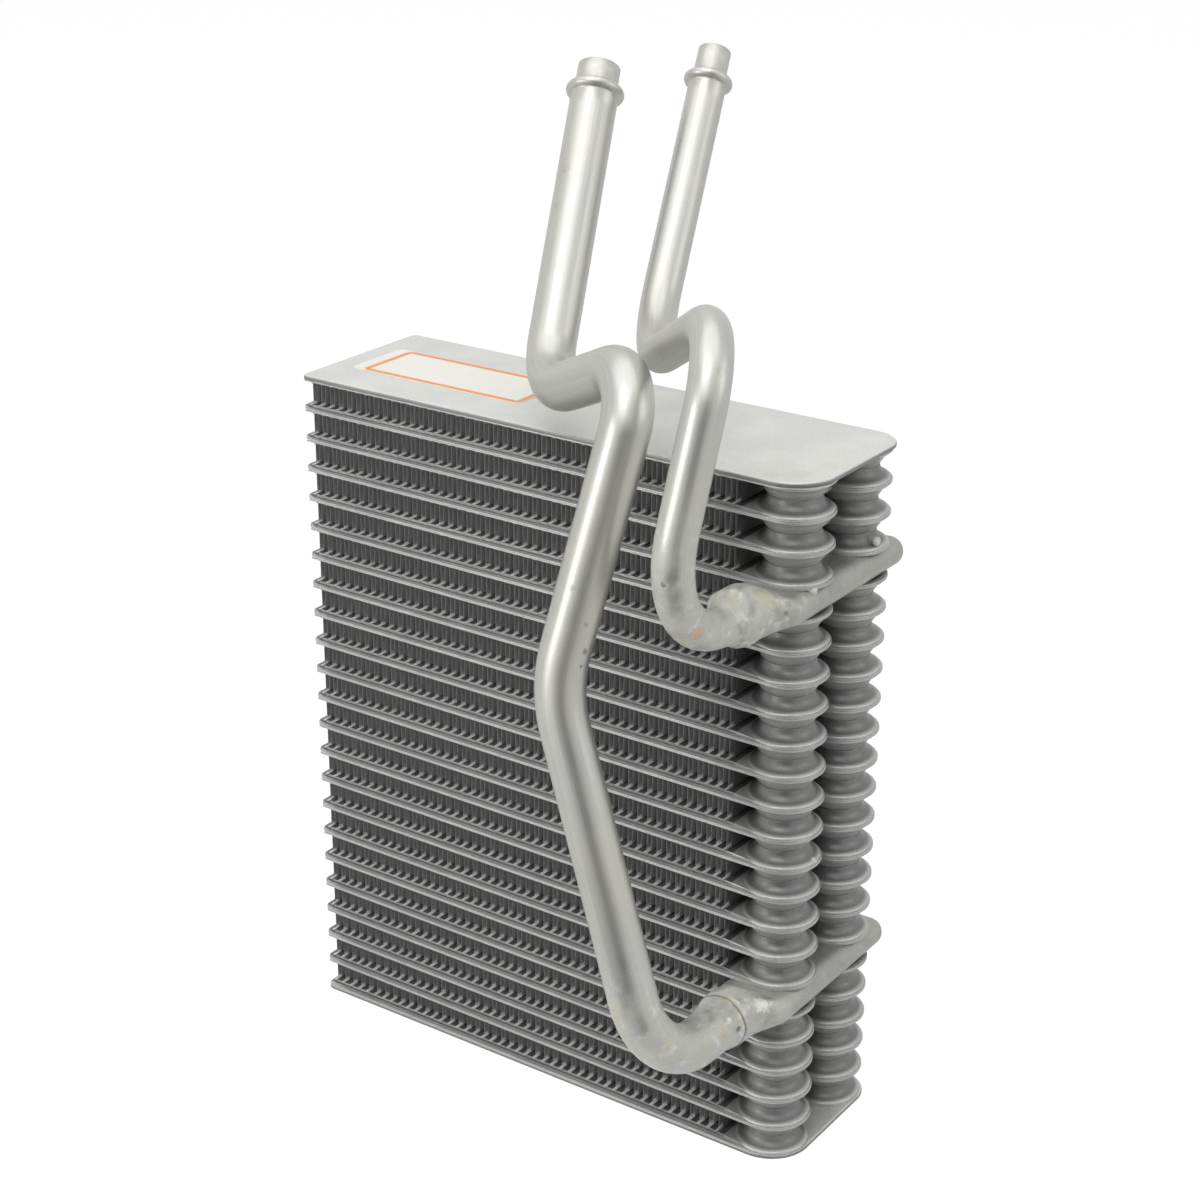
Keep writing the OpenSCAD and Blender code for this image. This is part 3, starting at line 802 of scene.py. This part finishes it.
def manifold_bar(name, sections, seed):
    low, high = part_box(name)
    axis_x = (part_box("lower_sleeve")[0][0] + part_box("lower_sleeve")[1][0]) / 2
    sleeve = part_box(name.replace("manifold", "sleeve"))
    axis_z = (sleeve[0][2] + sleeve[1][2]) / 2
    back = high[1] - bar_half_height
    places = []
    for step in range(dome_rings):
        angle = math.pi / 2 * (1 - (step + dome_tip) / (dome_rings - 1 + dome_tip))
        reach = bar_half_height * math.sin(angle)
        places.append((back + reach, 0, 0, bar_half_height * (1 - math.cos(angle))))
    front_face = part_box("top_end_plate")[0][1]
    flat_end = front_face - swage_overlap
    for step in range(1, flat_rings + 1):
        places.append((back + (flat_end - back) * step / flat_rings, 0, 0, 0))
    for step in range(1, swage_rings + 1):
        share = step / swage_rings
        y = flat_end - swage_length * share
        places.append((y, share * share * (3 - 2 * share), socket_radius, 0))
    for reach, radius in sections:
        places.append((front_face - reach, 1, radius, 0))
    bm = bmesh.new()
    rank = bm.verts.layers.int.new("rank")
    ring = bmesh.ops.create_circle(bm, cap_ends=True, segments=ring_points, radius=0.001)["verts"]
    for index, vert in enumerate(ring):
        vert[rank] = index
    edges = bm.edges[:]
    for number, (y, share, radius, inset) in enumerate(places):
        if number:
            out = bmesh.ops.extrude_edge_only(bm, edges=edges)["geom"]
            edges = [part for part in out if isinstance(part, bmesh.types.BMEdge)]
            ring = [part for part in out if isinstance(part, bmesh.types.BMVert)]
            ring.sort(key=lambda vert: vert[rank])
        for index, vert in enumerate(ring):
            turn = index / ring_points
            x, z = stadium_point(turn, inset)
            angle = math.pi / 2 - 2 * math.pi * turn
            round_x = socket_aside + radius * math.cos(angle)
            round_z = radius * math.sin(angle)
            vert.co = (axis_x + x + (round_x - x) * share, y, axis_z + z + (round_z - z) * share)
    bmesh.ops.contextual_create(bm, geom=edges)
    bmesh.ops.recalc_face_normals(bm, faces=bm.faces)
    bm.normal_update()
    for vert in bm.verts:
        x, y, z = vert.co
        wet = min(1, max(0, (front_face - crust_start - y) / crust_fade))
        lump = noise.noise(Vector((x * 260, y * 260, z * 260 + seed)))
        vert.co += vert.normal * (crust_lump * lump * wet - crust_sink * wet)
    make_piece(name + "_bar", bm, bar_metal, name, smooth_below=60)


manifold_bar(
    "lower_manifold",
    sections=(
        (0.0172, 0.0096),
        (0.0175, 0.0093),
        (0.0178, 0.0092),
        (0.019, 0.0090),
        (0.0205, 0.0087),
        (0.0225, 0.0084),
        (0.0245, 0.0081),
        (0.0262, 0.00785),
    ),
    seed=3.7,
)
manifold_bar(
    "upper_manifold",
    sections=(
        (0.0172, 0.0096),
        (0.0177, 0.0092),
        (0.0186, 0.0083),
        (0.0195, 0.0078),
        (0.021, 0.0074),
        (0.0225, 0.00695),
        (0.0242, 0.0066),
        (0.0255, 0.0062),
    ),
    seed=9.1,
)


def unchanged(tree, color):
    return color


flux_white = brazed_metal(
    "flux_white",
    tone=(0.7, 0.7, 0.67),
    haze=(0.8, 0.8, 0.77),
    haze_amount=0.8,
    patch_size=0.002,
    roughness=0.5,
    metallic=0.0,
    bump=0.4,
    upright_shade=1.0,
    overlay=unchanged,
)


def flux_bead(name, spot, size):
    bm = bmesh.new()
    bmesh.ops.create_icosphere(bm, subdivisions=3, radius=1)
    for vert in bm.verts:
        vert.co *= 1 + 0.25 * noise.noise(vert.co * 1.7 + Vector(spot) * 900)
    bmesh.ops.scale(bm, vec=size, verts=bm.verts)
    bmesh.ops.translate(bm, vec=spot, verts=bm.verts)
    make_piece(name, bm, flux_white, None)


flux_bead("bead_back_cup", (0.0991, 0.0153, 0.2118), (0.0013, 0.0016, 0.0014))
flux_bead("bead_front_cup", (0.0986, -0.0236, 0.2075), (0.0015, 0.0016, 0.0014))
flux_bead("bead_low_cup", (0.0991, -0.0176, 0.1110), (0.0013, 0.0016, 0.0014))

# Sleeves. Short rings inside the manifolds that carry a tank past them, brazed in; they are
# shut in and not seen.
for name in ("lower_sleeve", "upper_sleeve"):
    for slot in nodes[name].material_slots:
        slot.material = bar_metal

# Pipes. Drawn aluminium tube bent on a former, with a bead rolled near the open end and a
# reduced tip beyond it. Drawing leaves fine lines along the tube, the furnace a faint tint.
pipe_metal = bpy.data.materials.new("pipe_metal")
pipe_metal.use_nodes = True
tree = pipe_metal.node_tree
along = tree.nodes.new("ShaderNodeAttribute")
along.attribute_name = "lengthwise"
stretched = tree.nodes.new("ShaderNodeMapping")
stretched.inputs["Scale"].default_value = (1500, 1500, 25)
tree.links.new(along.outputs["Vector"], stretched.inputs["Vector"])
lines = clouds(tree, 1, 4, 0.5, stretched.outputs["Vector"])
line_tone = eased(tree, lines, 0.3, 0.7, 0.93, 1.05, "LINEAR")
skin = skin_of(tree, (0.48, 0.48, 0.46), (0.53, 0.515, 0.44), 0.7, 0.03, 0.36, 0.1)
lined = tinted(tree, skin["Color"], 1.0, line_tone, "MULTIPLY")
run = tree.nodes.new("ShaderNodeSeparateXYZ")
tree.links.new(along.outputs["Vector"], run.inputs["Vector"])
near_socket = eased(tree, run.outputs["Z"], 0.085, 0.03)


def pipe_marks(tree, color):
    dark, dull, rust = (0.14, 0.13, 0.11), (0.3, 0.28, 0.22), (0.62, 0.36, 0.14)
    return drop_marks(
        tree,
        color,
        (
            ((0.0954, -0.0747, 0.2894), 0.0016, dull, 0.7, 0.8),
            ((0.0498, -0.0358, 0.2769), 0.0015, dull, 0.7, 0.8),
            ((0.0696, -0.0847, 0.1337), 0.0016, dull, 0.7, 0.8),
            ((-0.0192, 0.0113, 0.3167), 0.0016, dull, 0.7, 0.8),
            ((-0.0174, 0.0034, 0.3060), 0.0013, dull, 0.7, 0.8),
            ((0.0511, -0.0843, 0.2173), 0.0012, dull, 0.6, 0.0),
            ((0.0553, -0.0830, 0.2060), 0.0010, dull, 0.6, 0.0),
            ((0.0549, -0.0829, 0.1972), 0.0011, dark, 0.7, 0.0),
            ((0.0544, -0.0842, 0.1926), 0.0008, dark, 0.7, 0.0),
            ((0.0879, -0.0914, 0.2293), 0.0010, dark, 0.7, 0.0),
            ((0.0911, -0.0780, 0.2106), 0.0032, rust, 0.6, 0.2),
        ),
    )


crusted_metal(tree, lined, skin["Roughness"], near_socket, 0.75, 0.3, pipe_marks)

round_points = 48
bend_step = math.radians(5)
straight_step = 0.006
bead_high = 0.0019
bead_round = 0.0017
tip_step = 0.0008
tip_round = 0.0002
bore_depth = 0.06


def pipe_stations(corners, bends, lean, heading, leg):
    # places along the centre line, straight runs and round bends, each with the turn of its
    # ring and the length of tube up to it
    corners = [Vector(corner) for corner in corners]
    lean, heading = math.radians(lean), math.radians(heading)
    level = math.sin(lean)
    way = Vector((level * math.cos(heading), level * math.sin(heading), math.cos(lean)))
    corners.append(corners[-1] + way * leg)
    place = corners[0]
    turned = (corners[1] - place).to_track_quat("Z", "Y").to_matrix()
    stations = [(place.copy(), turned, 0)]
    length = 0
    for number, bend in enumerate(bends, 1):
        into = (corners[number] - corners[number - 1]).normalized()
        out = (corners[number + 1] - corners[number]).normalized()
        angle = into.angle(out)
        run = (corners[number] - place).length - bend * math.tan(angle / 2)
        steps = max(1, round(run / straight_step))
        for step in range(1, steps + 1):
            stations.append((place + into * run * step / steps, turned, length + run * step / steps))
        place = place + into * run
        length += run
        axis = into.cross(out).normalized()
        centre = place + axis.cross(into) * bend
        arm = place - centre
        steps = math.ceil(angle / bend_step)
        start = turned
        for step in range(1, steps + 1):
            turn = Matrix.Rotation(angle * step / steps, 3, axis)
            turned = turn @ start
            place = centre + turn @ arm
            stations.append((place, turned, length + bend * angle * step / steps))
        length += bend * angle
    return stations, way, corners[-1]


def bent_pipe(name, route, bends, lean, heading, leg, tip, outer, wall):
    stations, way, end = pipe_stations(route, bends, lean, heading, leg)
    radius = outer / 2
    place, turned, length = stations[-1]
    bead_gap = 0.0003
    rest = (end - place).length - tip - bead_round - bead_gap
    rings = [(spot, turn, run, radius) for spot, turn, run in stations]
    steps = round(rest / straight_step)
    for step in range(1, steps + 1):
        run = rest * step / steps
        rings.append((place + way * run, turned, length + run, radius))
    ends = []
    crest = radius + bead_high - bead_round
    for step in range(11):
        angle = math.pi * (step / 10 - 0.5)
        ends.append((bead_round * math.sin(angle) - tip, crest + bead_round * math.cos(angle)))
    slim = radius - tip_step
    ends.append((-tip + bead_round + 0.0002, slim + 0.0003))
    ends.append((-tip + bead_round + 0.0006, slim))
    ends.append((-tip / 3, slim))
    ends.append((-tip_round, slim))
    ends.append((0, slim - tip_round))
    ends.append((0, slim - wall + tip_round))
    ends.append((-tip_round, slim - wall))
    ends.append((-tip, slim - wall))
    ends.append((-tip - 0.004, radius - wall))
    ends.append((-bore_depth, radius - wall))
    for run, size in ends:
        rings.append((end + way * run, turned, length + (end - place).length + run, size))
    bm = bmesh.new()
    lengthwise = bm.verts.layers.float_vector.new("lengthwise")
    made = bmesh.ops.create_circle(bm, cap_ends=True, segments=round_points, radius=1)["verts"]
    edges = bm.edges[:]
    before = Matrix.Identity(4)
    for number, (spot, turn, run, size) in enumerate(rings):
        if number:
            out = bmesh.ops.extrude_edge_only(bm, edges=edges)["geom"]
            edges = [part for part in out if isinstance(part, bmesh.types.BMEdge)]
            made = [part for part in out if isinstance(part, bmesh.types.BMVert)]
        now = Matrix.Translation(spot) @ turn.to_4x4() @ Matrix.Diagonal((size, size, 1, 1))
        bmesh.ops.transform(bm, matrix=now @ before.inverted(), verts=made)
        for vert in made:
            across = now.inverted() @ vert.co
            vert[lengthwise] = (across.x * radius, across.y * radius, run)
        before = now
    bmesh.ops.contextual_create(bm, geom=edges)
    bmesh.ops.recalc_face_normals(bm, faces=bm.faces)
    make_piece(name + "_tube", bm, pipe_metal, name, smooth_below=50)


bent_pipe(
    "suction_pipe",
    route=(
        (0.0850, -0.0458, 0.06145),
        (0.0850, -0.0883, 0.06145),
        (0.0452, -0.0848, 0.18345),
        (0.0592, -0.0596, 0.2825),
        (-0.0004, -0.0276, 0.2535),
    ),
    bends=(0.026, 0.050, 0.015, 0.022),
    lean=39.6,
    heading=111.3,
    leg=0.1177,
    tip=0.0095,
    outer=0.01588,
    wall=0.00125,
)
bent_pipe(
    "liquid_pipe",
    route=(
        (0.0850, -0.0458, 0.20315),
        (0.0850, -0.0948, 0.20315),
        (0.0934, -0.0698, 0.3050),
        (0.0215, -0.0014, 0.2608),
    ),
    bends=(0.033, 0.021, 0.034),
    lean=40.3,
    heading=106.6,
    leg=0.1151,
    tip=0.0117,
    outer=0.0127,
    wall=0.001,
)

# Label. Thin white paper with an orange printed border, stuck on the top end plate; it is
# left blank.
paper = bpy.data.materials.new("paper")
paper.use_nodes = True
tree = paper.node_tree
shader = tree.nodes["Principled BSDF"]
shader.inputs["Roughness"].default_value = 0.6

label_low, label_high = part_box("label")
frame_margin = (0.0046, 0.0003, 0.0003, 0.0003)
frame_low = (label_low[0] + frame_margin[0], label_low[1] + frame_margin[1])
frame_high = (label_high[0] - frame_margin[2], label_high[1] - frame_margin[3])
frame_round = 0.0025
frame_line = 0.0021
spot = split(tree, "Object")
past = []
for axis, socket in enumerate(("X", "Y")):
    middle = (frame_low[axis] + frame_high[axis]) / 2
    half = (frame_high[axis] - frame_low[axis]) / 2 - frame_round
    from_middle = tally(tree, "ABSOLUTE", tally(tree, "SUBTRACT", spot[socket], middle))
    past.append(tally(tree, "SUBTRACT", from_middle, half))
corner_x = tally(tree, "POWER", tally(tree, "MAXIMUM", past[0], 0.0), 2.0)
corner_y = tally(tree, "POWER", tally(tree, "MAXIMUM", past[1], 0.0), 2.0)
outside = tally(tree, "SQRT", tally(tree, "ADD", corner_x, corner_y))
inside = tally(tree, "MINIMUM", tally(tree, "MAXIMUM", past[0], past[1]), 0.0)
depth = tally(tree, "SUBTRACT", frame_round, tally(tree, "ADD", outside, inside))
line_off = tally(tree, "ABSOLUTE", tally(tree, "SUBTRACT", depth, frame_line / 2))
printed = eased(tree, line_off, frame_line * 0.25, frame_line * 0.7, 1.0, 0.0, "LINEAR")
fibres = clouds(tree, 260, 5)
sheet_tone = tinted(tree, (0.92, 0.88, 0.79), fibres, (0.96, 0.95, 0.9))
inked = tinted(tree, sheet_tone, printed, (0.87, 0.34, 0.11))
tree.links.new(inked, shader.inputs["Base Color"])
for slot in nodes["label"].material_slots:
    slot.material = paper
